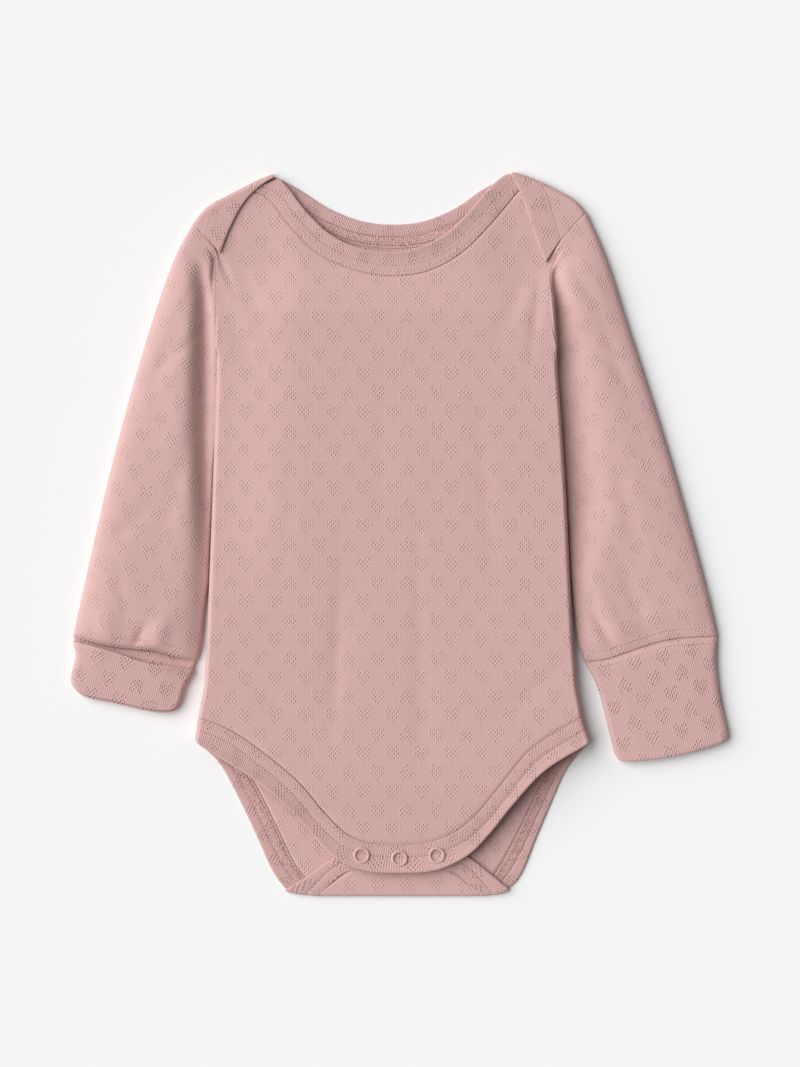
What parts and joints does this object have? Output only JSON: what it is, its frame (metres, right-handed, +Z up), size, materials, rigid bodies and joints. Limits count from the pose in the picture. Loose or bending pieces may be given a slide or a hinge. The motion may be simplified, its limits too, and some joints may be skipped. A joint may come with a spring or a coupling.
{
  "type": "baby onesie",
  "caption": "Long-sleeved baby bodysuit in openwork cotton jersey with lapped shoulders, snap crotch and long cuffs, one turned back, laid flat on its back.",
  "frame": {"origin": "middle of the outline, on the surface that the garment lies on", "axes": "+Z up out of the surface, +Y towards the neck, +X towards the wearer's left sleeve"},
  "size_m": [0.3558, 0.3914, 0.0074],
  "materials": {
    "jersey": "matt openwork cotton rib jersey, dusty pink",
    "binding": "matt doubled jersey binding, cover stitched, dusty pink",
    "cuff": "matt openwork cotton rib jersey, dusty pink",
    "snap": "satin dusty pink enamel"
  },
  "bodies": {
    "root": {"back_panel": "jersey", "front_panel": "jersey", "back_neck_band": "binding", "front_neck_band": "binding", "back_leg_band": "binding", "front_leg_band": "binding", "right_sleeve": "jersey", "left_sleeve": "jersey", "right_cuff": "cuff", "left_cuff": "cuff", "snap_ring_1": "snap", "snap_ring_2": "snap", "snap_ring_3": "snap"}
  },
  "joints": []
}
